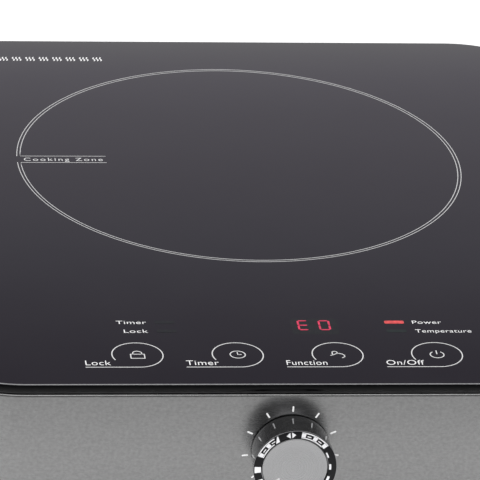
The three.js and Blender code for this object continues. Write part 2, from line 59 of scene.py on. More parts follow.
GLASS_LOW, GLASS_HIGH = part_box("glass_top")
CASE_LOW, CASE_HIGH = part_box("housing")
CASE_SIZE = (CASE_HIGH - CASE_LOW).xy
BASE_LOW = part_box("base_plate")[0]
ZONE = middle("mica_sheet")
TOP = GLASS_HIGH.z
PANEL_Y = CASE_LOW.y
REAR_Y = CASE_HIGH.y
KEYS = [middle(f"touch_spring_{i}") for i in (1, 2, 3, 4)]
DISPLAY = middle("digit_display")
LAMPS = {-1: middle("lamp_block_1"), 1: middle("lamp_block_2")}
KNOB = middle("knob_bezel")
KNOB_LENGTH = PANEL_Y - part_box("knob_bezel")[0].y
GLAND = middle("gland_nut")
GLAND_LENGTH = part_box("gland_nut")[1].y - REAR_Y
FAN = middle("fan_rotor")
FEET = [middle(f"foot_{i}") for i in (1, 2, 3, 4)]
BASE_SCREWS = [middle(f"base_screw_{i}") for i in (1, 2, 3, 4)]

# ---- Sizes the frame's boxes don't give ----
GLASS_CORNER = 52 * MM
CASE_CORNER = 51 * MM
SHEET = 1.2 * MM
TOP_FLANGE = 14 * MM
BOTTOM_FLANGE = 12 * MM
ZONE_RADIUS = 110 * MM
PRINT = 0.05 * MM  # thickness of a print
STROKE = 0.5 * MM  # width of a printed line
RING_STROKE = 0.38 * MM  # width of the cooking zone's two lines


# ---- Meshes ----
def smoothed(mesh, angle):
    mesh.shade_smooth()
    mesh.set_sharp_from_angle(angle=radians(angle))
    return mesh


def mesh_of(name, bm, angle=32):
    bmesh.ops.recalc_face_normals(bm, faces=bm.faces)
    mesh = bpy.data.meshes.new(name)
    bm.to_mesh(mesh)
    bm.free()
    return smoothed(mesh, angle)


def skin(bm, rings, closed=False, place=Matrix()):
    """Faces between rings of equal length, moved to place. The ends are capped, or joined if closed."""
    loops = [[bm.verts.new(place @ Vector(point)) for point in ring] for ring in rings]
    count = len(loops[0])
    pairs = list(zip(loops, loops[1:]))
    if closed:
        pairs.append((loops[-1], loops[0]))
    else:
        bm.faces.new(loops[0][::-1])
        bm.faces.new(loops[-1])
    for lower, upper in pairs:
        for i in range(count):
            j = (i + 1) % count
            bm.faces.new((lower[i], lower[j], upper[j], upper[i]))


def solid(name, rings, closed=False, angle=32):
    """Mesh of the one body that the rings skin."""
    bm = bmesh.new()
    skin(bm, rings, closed)
    return mesh_of(name, bm, angle)


def mm(points, x=0.0, y=0.0):
    """Points in metres from pairs of millimetres that are measured from (x, y)."""
    return [(x + px * MM, y + py * MM) for px, py in points]


def arc(x, y, radius, start, end, steps):
    """Points of an arc about (x, y) between two angles in degrees."""
    points = []
    for i in range(steps + 1):
        angle = radians(start + (end - start) * i / steps)
        points.append((x + radius * cos(angle), y + radius * sin(angle)))
    return points


def outline(width, depth, corner, inset, steps):
    """Anticlockwise points of a rounded rectangle about the origin, drawn in by inset."""
    radius = corner - inset
    x, y = width / 2 - corner, depth / 2 - corner
    points = []
    for quarter, (sx, sy) in enumerate(((1, 1), (-1, 1), (-1, -1), (1, -1))):
        for i in range(steps + 1):
            angle = (quarter + i / steps) * pi / 2
            points.append((sx * x + radius * cos(angle), sy * y + radius * sin(angle)))
    return points


def rounded_rings(width, depth, corner, profile, steps=28):
    """One ring for each (inset, level) pair of the profile."""
    return [[(x, y, z) for x, y in outline(width, depth, corner, inset, steps)] for inset, z in profile]


def turned_rings(profile, segments, wobble=None):
    """Rings about +Z for (radius, level) pairs. wobble(angle, radius, level) may change the radius."""
    rings = []
    for radius, level in profile:
        ring = []
        for i in range(segments):
            angle = 2 * pi * i / segments
            r = wobble(angle, radius, level) if wobble else radius
            ring.append((r * cos(angle), r * sin(angle), level))
        rings.append(ring)
    return rings


def standing(at, z=0.0):
    """Place that is straight over or under at, with its origin at level z."""
    return Matrix.Translation((at.x, at.y, z))


def prism(bm, points, low, high, place=Matrix()):
    """Solid of the flat outline between two levels. The outline may be any simple polygon."""
    skin(bm, [[(x, y, low) for x, y in points], [(x, y, high) for x, y in points]], place=place)


def closed_stroke(bm, points, width, low, high):
    """Solid band of constant width along a closed flat line of points."""
    rings = []
    for i, point in enumerate(points):
        here = Vector(point)
        before = (here - Vector(points[i - 1])).normalized()
        after = (Vector(points[(i + 1) % len(points)]) - here).normalized()
        way = (before + after).normalized()
        across = Vector((-way.y, way.x)) * width / 2 / max(0.5, way.dot(before))
        left, right = here + across, here - across
        rings.append([(*left, low), (*right, low), (*right, high), (*left, high)])
    skin(bm, rings, closed=True)


def stroke(bm, points, width, low, high):
    """Solid band of constant width along a flat line of points, with round ends."""
    points = [Vector(point) for point in points]
    sides = ([], [])
    cap_steps = 5
    for i, point in enumerate(points):
        way = (points[min(len(points) - 1, i + 1)] - points[max(0, i - 1)]).normalized()
        across = Vector((-way.y, way.x)) * width / 2
        sides[0].append(point + across)
        sides[1].append(point - across)

    def cap(centre, start):
        first = atan2(start.y, start.x)
        turns = [first - pi * k / cap_steps for k in range(1, cap_steps)]
        return [centre + Vector((cos(turn), sin(turn))) * width / 2 for turn in turns]

    end_cap = cap(points[-1], sides[0][-1] - points[-1])
    start_cap = cap(points[0], sides[1][0] - points[0])
    edge = sides[0] + end_cap + sides[1][::-1] + start_cap
    prism(bm, edge[::-1], low, high)


def slot_outline(x, y, width, length):
    """Outline of a slot with round ends that stands along y."""
    straight, radius = (length - width) / 2, width / 2
    return arc(x, y + straight, radius, 0, 180, 8) + arc(x, y - straight, radius, 180, 360, 8)


def linked(name, data):
    """Object in the scene that shows data."""
    obj = bpy.data.objects.new(name, data)
    bpy.context.scene.collection.objects.link(obj)
    return obj


def put(name, mesh, material, body="body", replaces=(), place=None):
    """A shown piece from a mesh. place moves the mesh, while the object stays at the origin."""
    if place is not None:
        mesh.transform(place)
    obj = linked(name, mesh)
    mesh.materials.append(MATERIALS[material])
    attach(obj, body)
    if replaces:
        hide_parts(*replaces)


def evaluated_mesh(obj):
    """Mesh that obj comes to. obj is removed."""
    evaluated = obj.evaluated_get(bpy.context.evaluated_depsgraph_get())
    mesh = bpy.data.meshes.new_from_object(evaluated)
    bpy.data.objects.remove(obj)
    return mesh


def applied(mesh, kind, **settings):
    """The mesh after a modifier of the kind."""
    obj = linked("work", mesh)
    modifier = obj.modifiers.new(kind, kind)
    for key, value in settings.items():
        setattr(modifier, key, value)
    return evaluated_mesh(obj)


def combined(mesh, tool_mesh, operation="DIFFERENCE", angle=32):
    """The mesh less the tool's solids, or joined or shared with them by another operation."""
    tool = linked("tool", tool_mesh)
    result = applied(mesh, "BOOLEAN", operation=operation, solver="EXACT", object=tool)
    bpy.data.objects.remove(tool)
    return smoothed(result, angle)


def levelled(mesh):
    """The mesh with its shading led by its large faces, so that flat sheet looks flat."""
    return applied(mesh, "WEIGHTED_NORMAL", weight=100, keep_sharp=True)


def eased(mesh, width):
    """The mesh with its sharp edges rounded."""
    result = applied(mesh, "BEVEL", width=width, segments=2, limit_method="ANGLE", angle_limit=radians(40))
    return levelled(smoothed(result, 50))


# ---- Materials ----
class Finish:
    """A Principled material with the few nodes that the finishes below share."""

    def __init__(self, name, color, roughness, metallic=0.0, **sockets):
        self.material = bpy.data.materials.new(name)
        self.material.use_nodes = True
        self.tree = self.material.node_tree
        self.shader = self.tree.nodes["Principled BSDF"]
        self.shader.inputs["Base Color"].default_value = (*color, 1)
        self.shader.inputs["Roughness"].default_value = roughness
        self.shader.inputs["Metallic"].default_value = metallic
        for key, value in sockets.items():
            self.shader.inputs[key.replace("_", " ")].default_value = value

    def node(self, kind, **inputs):
        made = self.tree.nodes.new(kind)
        for key, value in inputs.items():
            made.inputs[key.replace("_", " ")].default_value = value
        return made

    def link(self, output, node, name):
        self.tree.links.new(output, node.inputs[name])
        return node

    def place(self):
        return self.node("ShaderNodeTexCoord").outputs["Object"]

    def noise(self, scale, stretch=(1, 1, 1), detail=2.0, at=None):
        mapping = self.link(at or self.place(), self.node("ShaderNodeMapping", Scale=stretch), "Vector")
        texture = self.node("ShaderNodeTexNoise", Scale=scale, Detail=detail)
        return self.link(mapping.outputs["Vector"], texture, "Vector").outputs[0]

    def vector(self, operation, value, other=(0, 0, 0)):
        node = self.link(value, self.node("ShaderNodeVectorMath"), 0)
        node.operation = operation
        node.inputs[1].default_value = other
        return node.outputs["Value" if operation == "LENGTH" else "Vector"]

    def rings(self, scale, detail, centre, flat=(1, 1, 0)):
        """Noise that only the distance from an axis through centre changes. flat drops the axis's way."""
        away = self.vector("MULTIPLY", self.vector("SUBTRACT", self.place(), centre), flat)
        along = self.link(self.vector("LENGTH", away), self.node("ShaderNodeCombineXYZ"), "X")
        return self.noise(scale, detail=detail, at=along.outputs["Vector"])

    def ramp(self, value, stops):
        node = self.link(value, self.node("ShaderNodeValToRGB"), "Fac")
        elements = node.color_ramp.elements
        while len(elements) < len(stops):
            elements.new(0.5)
        for element, (position, color) in zip(elements, stops):
            element.position = position
            element.color = (*color, 1)
        return node.outputs["Color"]

    def colors(self, value, low, high):
        self.link(self.ramp(value, [(0.3, low), (0.7, high)]), self.shader, "Base Color")
        return self

    def rough(self, value, low, high):
        node = self.node("ShaderNodeMapRange", From_Min=0.3, From_Max=0.7, To_Min=low, To_Max=high)
        self.link(self.link(value, node, "Value").outputs["Result"], self.shader, "Roughness")
        return self

    def surface(self, output):
        self.link(output, self.tree.nodes["Material Output"], "Surface")

    def mixed(self, factor, first, second):
        """Surface that goes from the first shader to the second as factor goes from 0 to 1."""
        mix = self.link(factor, self.node("ShaderNodeMixShader"), "Fac")
        self.link(first, mix, 1)
        self.link(second, mix, 2)
        self.surface(mix.outputs["Shader"])

    def bump(self, value, strength, distance):
        node = self.link(value, self.node("ShaderNodeBump", Strength=strength, Distance=distance), "Height")
        self.link(node.outputs["Normal"], self.shader, "Normal")
        return self


def shade(color, factor):
    return tuple(c * factor for c in color)


def grained(name, color, roughness, scale, depth, **sockets):
    """Even fine grain: moulded plastic, rubber, and cast or coated surfaces."""
    finish = Finish(name, color, roughness, **sockets)
    grain = finish.noise(scale, detail=3)
    finish.colors(grain, shade(color, 0.75), shade(color, 1.25))
    finish.rough(finish.noise(scale / 12), roughness * 0.85, min(1, roughness * 1.15))
    return finish.bump(grain, 0.6, depth).material


def drawn(name, color, roughness, stretch, **sockets):
    """Metal with fine lines: stretch is long across the lines and short along them."""
    finish = Finish(name, color, roughness, 1.0, **sockets)
    lines = finish.noise(1.0, stretch, detail=4)
    finish.colors(lines, shade(color, 0.86), shade(color, 1.14))
    finish.rough(finish.noise(0.7, stretch), roughness * 0.8, roughness * 1.2)
    return finish.bump(lines, 0.5, 0.00001).material


def black_glass():
    finish = Finish("black_glass", (0.004, 0.0036, 0.0046), 0.05, IOR=1.52)
    finish.colors(finish.noise(30), (0.0035, 0.0031, 0.0041), (0.0045, 0.0041, 0.0051))
    return finish.rough(finish.noise(9, detail=3), 0.03, 0.06).material


def glass_edge():
    finish = Finish("glass_edge", (0.0015, 0.0015, 0.0018), 0.14, Specular_IOR_Level=0.11)
    finish.colors(finish.noise(300, detail=3), (0.001, 0.001, 0.0012), (0.002, 0.002, 0.0024))
    return finish.rough(finish.noise(300, detail=3), 0.1, 0.2).material


def ground_glass():
    finish = Finish("ground_glass", (0.16, 0.16, 0.165), 0.4)
    finish.colors(finish.noise(1200, detail=3), (0.13, 0.13, 0.135), (0.19, 0.19, 0.195))
    return finish.rough(finish.noise(900), 0.3, 0.5).material


def print_white(name, level):
    finish = Finish(name, (level,) * 3, 0.4)
    dots = finish.noise(1500, detail=3)
    return finish.colors(dots, (level * 0.9,) * 3, (min(0.95, level * 1.1),) * 3).material


def lit(name, color, strength):
    """Window with a lamp behind it, a little uneven as light through a diffuser is."""
    finish = Finish(name, shade(color, 0.4), 0.3)
    spots = finish.noise(500, detail=1)
    finish.colors(spots, shade(color, 0.3), shade(color, 0.5))
    glow = finish.ramp(spots, [(0.25, shade(color, 0.85 * strength)), (0.75, shade(color, 1.1 * strength))])
    finish.link(glow, finish.shader, "Emission Color")
    finish.shader.inputs["Emission Strength"].default_value = 1.0
    return finish.material


def unlit_window(name, color):
    finish = Finish(name, color, 0.12)
    finish.colors(finish.noise(300), shade(color, 0.8), shade(color, 1.2))
    return finish.rough(finish.noise(400), 0.1, 0.16).material


def steel_panel():
    """Satin steel: a short level grain with a fine mottle over it."""
    finish = Finish("steel_panel", (0.25, 0.25, 0.25), 0.21, 1.0)
    mottle = finish.noise(650, detail=4)
    grain = finish.noise(1.0, (120, 120, 3500), detail=3)
    finish.colors(mottle, (0.225, 0.225, 0.225), (0.275, 0.275, 0.275))
    finish.rough(grain, 0.22, 0.29)
    return finish.bump(grain, 0.25, 0.000004).material


def polished(name, color, roughness):
    """Plated metal with the faint unevenness of polishing."""
    finish = Finish(name, color, roughness, 1.0)
    wipe = finish.noise(220, detail=3)
    finish.colors(wipe, shade(color, 0.94), shade(color, 1.06))
    return finish.rough(wipe, roughness * 0.7, roughness * 1.4).material


def turned_metal(name, color, roughness, centre, flat):
    """Metal faced on a lathe: fine rings about the axis through centre."""
    finish = Finish(name, color, roughness, 1.0)
    rings = finish.rings(3800, 2, centre, flat)
    finish.colors(rings, shade(color, 0.88), shade(color, 1.12))
    finish.rough(rings, roughness * 0.8, roughness * 1.2)
    return finish.bump(rings, 0.4, 0.00001).material


def circuit_board():
    """Green lacquer over copper tracks."""
    finish = Finish("circuit_board", (0.012, 0.09, 0.035), 0.35)
    texture = finish.node("ShaderNodeTexBrick", Scale=60.0, Mortar_Size=0.035)
    finish.link(finish.place(), texture, "Vector")
    texture.inputs["Color1"].default_value = (0.010, 0.075, 0.028, 1)
    texture.inputs["Color2"].default_value = (0.013, 0.095, 0.037, 1)
    texture.inputs["Mortar"].default_value = (0.03, 0.17, 0.06, 1)
    finish.link(texture.outputs["Color"], finish.shader, "Base Color")
    return finish.rough(finish.noise(500), 0.3, 0.42).material


def wound_copper():
    """Lacquered strands: fine lines that run with the winding."""
    finish = Finish("wound_copper", (0.5, 0.2, 0.08), 0.32, 1.0)
    strands = finish.rings(1500, 1, ZONE)
    finish.colors(strands, (0.28, 0.1, 0.035), (0.62, 0.26, 0.11))
    return finish.bump(strands, 0.7, 0.0002).material


MATERIALS = {
    "glass": black_glass(),
    "edge": glass_edge(),
    "ground": ground_glass(),
    "ring_print": print_white("ring_white", 0.45),
    "print": print_white("print_white", 0.55),
    "letter": print_white("letter_white", 0.72),
    "tick": print_white("tick_white", 0.86),
    "digit": lit("lit_digit", (1.0, 0.035, 0.13), 0.17),
    "lamp": lit("lit_lamp", (1.0, 0.09, 0.09), 0.19),
    "unlit": unlit_window("unlit_lamp", (0.004, 0.010, 0.007)),
    "window": unlit_window("display_window", (0.003, 0.0048, 0.0037)),
    "steel": steel_panel(),
    "zinc": drawn("zinc_sheet", (0.5, 0.51, 0.53), 0.4, (40, 1100, 40), Metallic=0.4),
    "screw": polished("screw_zinc", (0.62, 0.62, 0.64), 0.2),
    "silicone": grained("black_silicone", (0.008, 0.008, 0.009), 0.6, 1500, 0.00002),
    "rubber": grained("black_rubber", (0.018, 0.018, 0.018), 0.72, 1300, 0.00006),
    "knob": polished("black_chrome", (0.3, 0.3, 0.31), 0.1),
    "bezel": grained("bezel_black", (0.004, 0.004, 0.005), 0.16, 900, 0.000001, Specular_IOR_Level=0.2),
    "chrome": polished("bright_chrome", (0.88, 0.88, 0.9), 0.07),
    "cap": turned_metal("turned_cap", (0.36, 0.36, 0.365), 0.26, KNOB, (1, 0, 1)),
    "nylon": grained("black_nylon", (0.02, 0.02, 0.021), 0.45, 1100, 0.00003),
    "plastic": grained("black_plastic", (0.025, 0.025, 0.027), 0.5, 700, 0.00004),
    "grey_plastic": grained("grey_plastic", (0.3, 0.31, 0.32), 0.45, 700, 0.00004),
    "copper": wound_copper(),
    "ferrite": grained("ferrite", (0.03, 0.03, 0.033), 0.75, 500, 0.00008),
    "mica": grained("mica", (0.55, 0.48, 0.32), 0.5, 120, 0.00003),
    "board": circuit_board(),
    "aluminium": drawn("aluminium", (0.6, 0.61, 0.63), 0.3, (60, 1500, 1500)),
    "film": grained("capacitor_case", (0.55, 0.33, 0.02), 0.3, 300, 0.00002),
}

# Finish of each material slot of the record whose name isn't the finish's own.
SLOT_FINISH = {
    "screws": "screw",
    "seal": "silicone",
    "feet": "rubber",
    "knob_ring": "bezel",
    "knob_face": "cap",
    "gland": "nylon",
    "black_plastic": "plastic",
    "yellow_plastic": "film",
}


# ---- Camera, lights and floor ----
def place_camera():
    """About 26 degrees above the glass, turned 8 degrees to the right of straight ahead."""
    yaw, pitch, roll = 0.1368, 0.4564, -0.0617
    distance = Vector((-0.3350, -2.4540, 1.1733))
    forward = Vector((sin(yaw) * cos(pitch), cos(yaw) * cos(pitch), -sin(pitch)))
    level = Vector((cos(yaw), -sin(yaw), 0))
    down = forward.cross(level)
    right = level * cos(roll) + down * sin(roll)
    up = level * sin(roll) - down * cos(roll)
    data = bpy.data.cameras.new("camera")
    data.sensor_width = 36
    data.lens = 415.5
    camera = linked("camera", data)
    turn = Matrix((right, up, -forward)).transposed()
    at = Vector((ZONE.x, ZONE.y, TOP)) + distance
    camera.matrix_world = Matrix.Translation(at) @ turn.to_4x4()
    bpy.context.scene.camera = camera


def area_light(name, at, target, size, power, glossy=True):
    data = bpy.data.lights.new(name, "AREA")
    data.shape = "RECTANGLE"
    data.size, data.size_y = size
    data.energy = power
    light = linked(name, data)
    way = Vector(target) - Vector(at)
    light.matrix_world = Matrix.Translation(at) @ way.to_track_quat("-Z", "Y").to_matrix().to_4x4()
    light.visible_camera = False
    light.visible_glossy = glossy


def stage_plane(name, corners, material):
    mesh = bpy.data.meshes.new(name)
    mesh.from_pydata(corners, [], [(0, 1, 2, 3)])
    mesh.materials.append(material)
    plane = linked(name, mesh)
    return plane


def only_in_reflections(plane):
    plane.visible_camera = False
    plane.visible_shadow = False
    plane.visible_diffuse = False


def level_plane(name, half, z, material):
    corners = [(-half, -half, z), (half, -half, z), (half, half, z), (-half, half, z)]
    return stage_plane(name, corners, material)


CARD_Y = 0.75
CARD_HEIGHT = 1.0
CARD_WIDTH = 3.2
# Light of the card by height in metres: bright near the floor and dim above.
CARD_STOPS = [
    (0.000, (1.15, 1.15, 1.15)),
    (0.325, (1.08, 1.08, 1.08)),
    (0.340, (0.84, 0.81, 0.88)),
    (0.358, (0.70, 0.665, 0.755)),
    (0.381, (0.60, 0.568, 0.65)),
    (0.428, (0.488, 0.459, 0.534)),
    (0.477, (0.395, 0.378, 0.446)),
    (0.526, (0.295, 0.274, 0.332)),
    (0.565, (0.225, 0.206, 0.258)),
    (0.700, (0.16, 0.15, 0.18)),
    (1.000, (0.10, 0.10, 0.11)),
]


def glowing_card():
    """Upright white card behind the object that fades out upwards: a soft gradient in the glass."""
    finish = Finish("card_glow", (0, 0, 0), 1.0)
    split = finish.link(finish.place(), finish.node("ShaderNodeSeparateXYZ"), "Vector")
    glow = finish.node("ShaderNodeEmission", Strength=1.0)
    finish.link(finish.ramp(split.outputs["Z"], CARD_STOPS), glow, "Color")
    finish.surface(glow.outputs["Emission"])
    half = CARD_WIDTH / 2
    base = [(-half, CARD_Y, 0), (half, CARD_Y, 0)]
    corners = base + [(x, y, CARD_HEIGHT) for x, y, _ in base[::-1]]
    only_in_reflections(stage_plane("card", corners, finish.material))


def dark_surround():
    """Grey sheet just over the floor, clear beside the object and dense further out.
    The steel walls show it as a gradient that darkens upwards."""
    finish = Finish("surround_grey", (0, 0, 0), 1.0)
    away = finish.vector("SUBTRACT", finish.vector("ABSOLUTE", finish.place()), (*CASE_HIGH.xy, 0))
    outside = finish.vector("MULTIPLY", finish.vector("MAXIMUM", away), (1, 1, 0))
    density = [(0.07, (0, 0, 0)), (0.15, (0.36,) * 3), (0.3, (0.62,) * 3), (0.8, (0.7,) * 3)]
    clear = finish.node("ShaderNodeBsdfTransparent").outputs["BSDF"]
    glow = finish.node("ShaderNodeEmission", Strength=0.2).outputs["Emission"]
    finish.mixed(finish.ramp(finish.vector("LENGTH", outside), density), clear, glow)
    only_in_reflections(level_plane("surround", 3.0, 0.5 * MM, finish.material))


def floor_finish():
    """Pale matt floor that can't be seen from below, so that it doesn't hide the underside."""
    finish = Finish("floor_pale", (0.86, 0.86, 0.86), 0.9, Specular_IOR_Level=0.1)
    finish.colors(finish.noise(60, detail=4), (0.85, 0.85, 0.85), (0.87, 0.87, 0.87))
    from_below = finish.node("ShaderNodeNewGeometry").outputs["Backfacing"]
    clear = finish.node("ShaderNodeBsdfTransparent").outputs["BSDF"]
    finish.mixed(from_below, finish.shader.outputs["BSDF"], clear)
    return finish.material


def build_stage():
    floor = level_plane("floor", 8.0, 0, floor_finish())
    floor.visible_shadow = False  # lets the light below reach the underside
    world = bpy.data.worlds.new("studio")
    world.use_nodes = True
    background = world.node_tree.nodes["Background"]
    background.inputs["Color"].default_value = (1, 1, 1, 1)
    background.inputs["Strength"].default_value = 0.28
    bpy.context.scene.world = world
    area_light("overhead", (0, 0.2, 2.3), (0, 0.2, 0), (6, 6), 178)
    area_light("front", (-1.0, -2.4, 1.1), (0, 0, 0.03), (1.6, 1.2), 30, glossy=False)
    area_light("below", (0, 0, -1.5), (0, 0, 0), (2, 2), 14, glossy=False)
    glowing_card()
    dark_surround()
    bpy.context.scene.view_settings.view_transform = "Standard"


# ---- Case ----
def glass_top():
    """Glass with a pencil-rounded edge and a ground line round its upper face."""
    width, depth = (GLASS_HIGH - GLASS_LOW).xy
    low, high = GLASS_LOW.z, TOP
    chamfer, bulge, face_inset, steps = 0.36 * MM, 0.4 * MM, 4 * MM, 8
    profile = [(face_inset, low), (bulge + chamfer, low)]
    for i in range(steps + 1):
        t = i / steps
        profile.append((bulge * (2 * t - 1) ** 2, low + chamfer + t * (high - low - 2 * chamfer)))
    profile += [(bulge + chamfer, high), (face_inset, high)]
    mesh = solid("glass_top", rounded_rings(width, depth, GLASS_CORNER, profile), angle=24)
    put("ceramic_glass", mesh, "glass", replaces=["glass_top"])
    mesh.materials.append(MATERIALS["edge"])
    mesh.materials.append(MATERIALS["ground"])
    for face in mesh.polygons:
        level = face.center.z
        if low + chamfer < level < high - chamfer:
            face.material_index = 1
        elif abs(face.normal.z) < 0.95:
            face.material_index = 2 if level > low + 2 * chamfer else 1


def glass_seal():
    """Bead of silicone between the rim and the glass."""
    low, high = (corner.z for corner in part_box("glass_seal"))
    outer, inner, round_off = 0.5 * MM, 10 * MM, 0.15 * MM
    profile = [(outer + round_off, low), (outer, (low + high) / 2), (outer + round_off, high)]
    profile += [(inner, high), (inner, low)]
    mesh = solid("seal", rounded_rings(*CASE_SIZE, CASE_CORNER, profile), closed=True)
    put("seal_bead", mesh, "silicone", replaces=["glass_seal"])


def wall(x, y, z, turn):
    """Place of a wall's own frame: x along the wall, y up and z out. turn is 0 for the front wall."""
    upright = Matrix.Rotation(turn, 4, "Z") @ Matrix.Rotation(pi / 2, 4, "X")
    return Matrix.Translation((x, y, z)) @ upright


SLOT_WIDTH = 3.4 * MM
SLOT_PITCH = 9 * MM
VENT_LENGTH = 26 * MM
REAR_VENTS = 13
REAR_VENTS_X = 30 * MM
SIDE_VENTS = 8
SIDE_VENTS_X = 44 * MM
FRONT_WALL = wall(KNOB.x, PANEL_Y, KNOB.z, 0)
REAR_WALL = wall(GLAND.x, REAR_Y, GLAND.z, pi)
BUSH_HOLE = 5 * MM
GLAND_HOLE = 8 * MM
SCREW_HOLE = 2.1 * MM


def cut_vents(bm, place, count, middle_x):
    """Row of standing slots along a wall's x."""
    for i in range(count):
        x = middle_x + (i - (count - 1) / 2) * SLOT_PITCH
        prism(bm, slot_outline(x, 0, SLOT_WIDTH, VENT_LENGTH), -3 * MM, 3 * MM, place)


def case_wrap():
    """The housing's sheet, bent at the top, with rims folded in above and below and its openings cut."""
    low, high = CASE_LOW.z, CASE_HIGH.z
    bend, ease = 1.5 * MM, 0.25 * MM
    rim = BASE_LOW.z + SHEET + 0.3 * MM
    profile = [(ease, low), (0, low + ease)]
    profile += arc(bend, high - bend, bend, 180, 90, 5)
    profile += [(TOP_FLANGE, high), (TOP_FLANGE, high - SHEET)]
    profile += arc(bend, high - bend, bend - SHEET, 90, 180, 2)
    profile += [(SHEET, rim + SHEET), (BOTTOM_FLANGE, rim + SHEET), (BOTTOM_FLANGE, rim)]
    profile += [(SHEET, rim), (SHEET, low)]
    shell = solid("case", rounded_rings(*CASE_SIZE, CASE_CORNER, profile), closed=True)
    cutters = bmesh.new()
    level = (low + high) / 2
    cut_vents(cutters, wall(0, REAR_Y, level, pi), REAR_VENTS, REAR_VENTS_X)
    cut_vents(cutters, wall(CASE_HIGH.x, 0, level, pi / 2), SIDE_VENTS, SIDE_VENTS_X)
    cut_vents(cutters, wall(CASE_LOW.x, 0, level, -pi / 2), SIDE_VENTS, -SIDE_VENTS_X)
    for place, radius in ((FRONT_WALL, BUSH_HOLE), (REAR_WALL, GLAND_HOLE)):
        skin(cutters, turned_rings([(radius, -4 * MM), (radius, 4 * MM)], 40), place=place)
    hole = turned_rings([(SCREW_HOLE, low + ease), (SCREW_HOLE, rim + 2 * SHEET)], 16)
    for at in BASE_SCREWS:
        skin(cutters, hole, place=standing(at))
    shell = combined(shell, mesh_of("cutters", cutters))
    put("case_wrap", eased(shell, 0.18 * MM), "steel", replaces=["housing"])


GRILLE_RADII = (16, 24, 32, 40)  # millimetres
GRILLE_RIB = 8  # degrees from a quarter's edge to its slots
OUTLETS = 9
OUTLET_LENGTH = 44 * MM
OUTLET_PITCH = 11.7 * MM
OUTLETS_AT = (58 * MM, -84 * MM)


def cut_base_openings(bm, low, high):
    """The fan's grille in four quarters, the row of outlet slots, and the screw holes."""
    for radius in GRILLE_RADII:
        for turn in (0, 90, 180, 270):
            start, end = turn + GRILLE_RIB, turn + 90 - GRILLE_RIB
            points = arc(FAN.x, FAN.y, radius * MM, start, end, 10 + radius // 4)
            stroke(bm, points, SLOT_WIDTH, low, high)
    for i in range(OUTLETS):
        x = OUTLETS_AT[0] + (i - (OUTLETS - 1) / 2) * OUTLET_PITCH
        prism(bm, slot_outline(x, OUTLETS_AT[1], SLOT_WIDTH, OUTLET_LENGTH), low, high)
    for at in FEET + BASE_SCREWS:
        prism(bm, arc(at.x, at.y, SCREW_HOLE, 0, 337.5, 15), low, high)


def base_sheet():
    """Base plate with its openings and the four stand-offs that carry the power board."""
    inset, ease = 1.5 * MM, 0.2 * MM
    low, high = BASE_LOW.z, BASE_LOW.z + SHEET
    profile = [(inset + ease, low), (inset, low + ease), (inset, high - ease), (inset + ease, high)]
    plate = solid("plate", rounded_rings(*CASE_SIZE, CASE_CORNER, profile, 20))
    cutters = bmesh.new()
    cut_base_openings(cutters, low - 2 * MM, high + 2 * MM)
    plate = eased(combined(plate, mesh_of("cutters", cutters)), 0.15 * MM)
    bm = bmesh.new()
    bm.from_mesh(plate)
    board_low, board_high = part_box("power_board")
    centre = (board_low + board_high) / 2
    reach = (board_high - board_low) / 2 - Vector((6, 6, 0)) * MM
    rise = board_low.z - 0.3 * MM
    standoff = turned_rings(mm([(5, -0.1), (4.2, 0.6)], 0, high) + mm([(4, -0.3), (3.7, 0)], 0, rise), 24)
    for sx in (-1, 1):
        for sy in (-1, 1):
            skin(bm, standoff, place=standing(centre + Vector((sx * reach.x, sy * reach.y, 0))))
    put("base_sheet", levelled(mesh_of("base", bm, 40)), "zinc", replaces=["base_plate"])


def feet():
    """Turned rubber feet with a ring-shaped sole, a waist, and a well for the screw."""
    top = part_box("foot_1")[1].z
    profile = mm([(2.3, 7), (5.2, 7), (5.5, 6.7), (5.5, 0.5), (6, 0), (8.0, 0), (8.3, 0.5), (8.9, 0.5)])
    profile += mm([(9.2, 0), (10.6, 0)])
    profile += arc(10.8 * MM, 1.2 * MM, 1.2 * MM, -85, 0, 6)
    waist = [(12.6, -3.2), (12.2, -2.6), (12.3, -2), (13, -1.4), (13, -0.3), (12.7, 0), (2.3, 0)]
    profile += mm(waist, 0, top)
    for i, at in enumerate(FEET, 1):
        mesh = solid("foot", turned_rings(profile, 48), closed=True, angle=50)
        put(f"foot_pad_{i}", mesh, "rubber", replaces=[f"foot_{i}"], place=standing(at))


def screw_mesh(head, height, length):
    """Domed head that hangs below z = 0 with a cross recess, and a plain shank above."""
    shank = 1.8 * MM
    profile = []
    for angle in (4, 25, 45, 65, 82):
        lean = radians(angle)
        profile.append((head * sin(lean), -height * (0.35 + 0.65 * cos(lean))))
    profile += [(head, -height * 0.25), (head, -0.1 * MM), (head - 0.1 * MM, 0)]
    profile += [(shank, 0), (shank, length - 0.5 * MM), (shank - 0.5 * MM, length)]
    arm, thin = head * 0.5, head * 0.13
    half = [(thin, -arm), (thin, -thin), (arm, -thin), (arm, thin), (thin, thin), (thin, arm)]
    cross = half + [(-x, y) for x, y in half[::-1]]
    ends = ((1.25, -height - 0.5 * MM), (0.8, -height * 0.42))
    recess = solid("cross", [[(x * k, y * k, z) for x, y in cross] for k, z in ends])
    return eased(combined(solid("screw", turned_rings(profile, 36)), recess), 0.06 * MM)


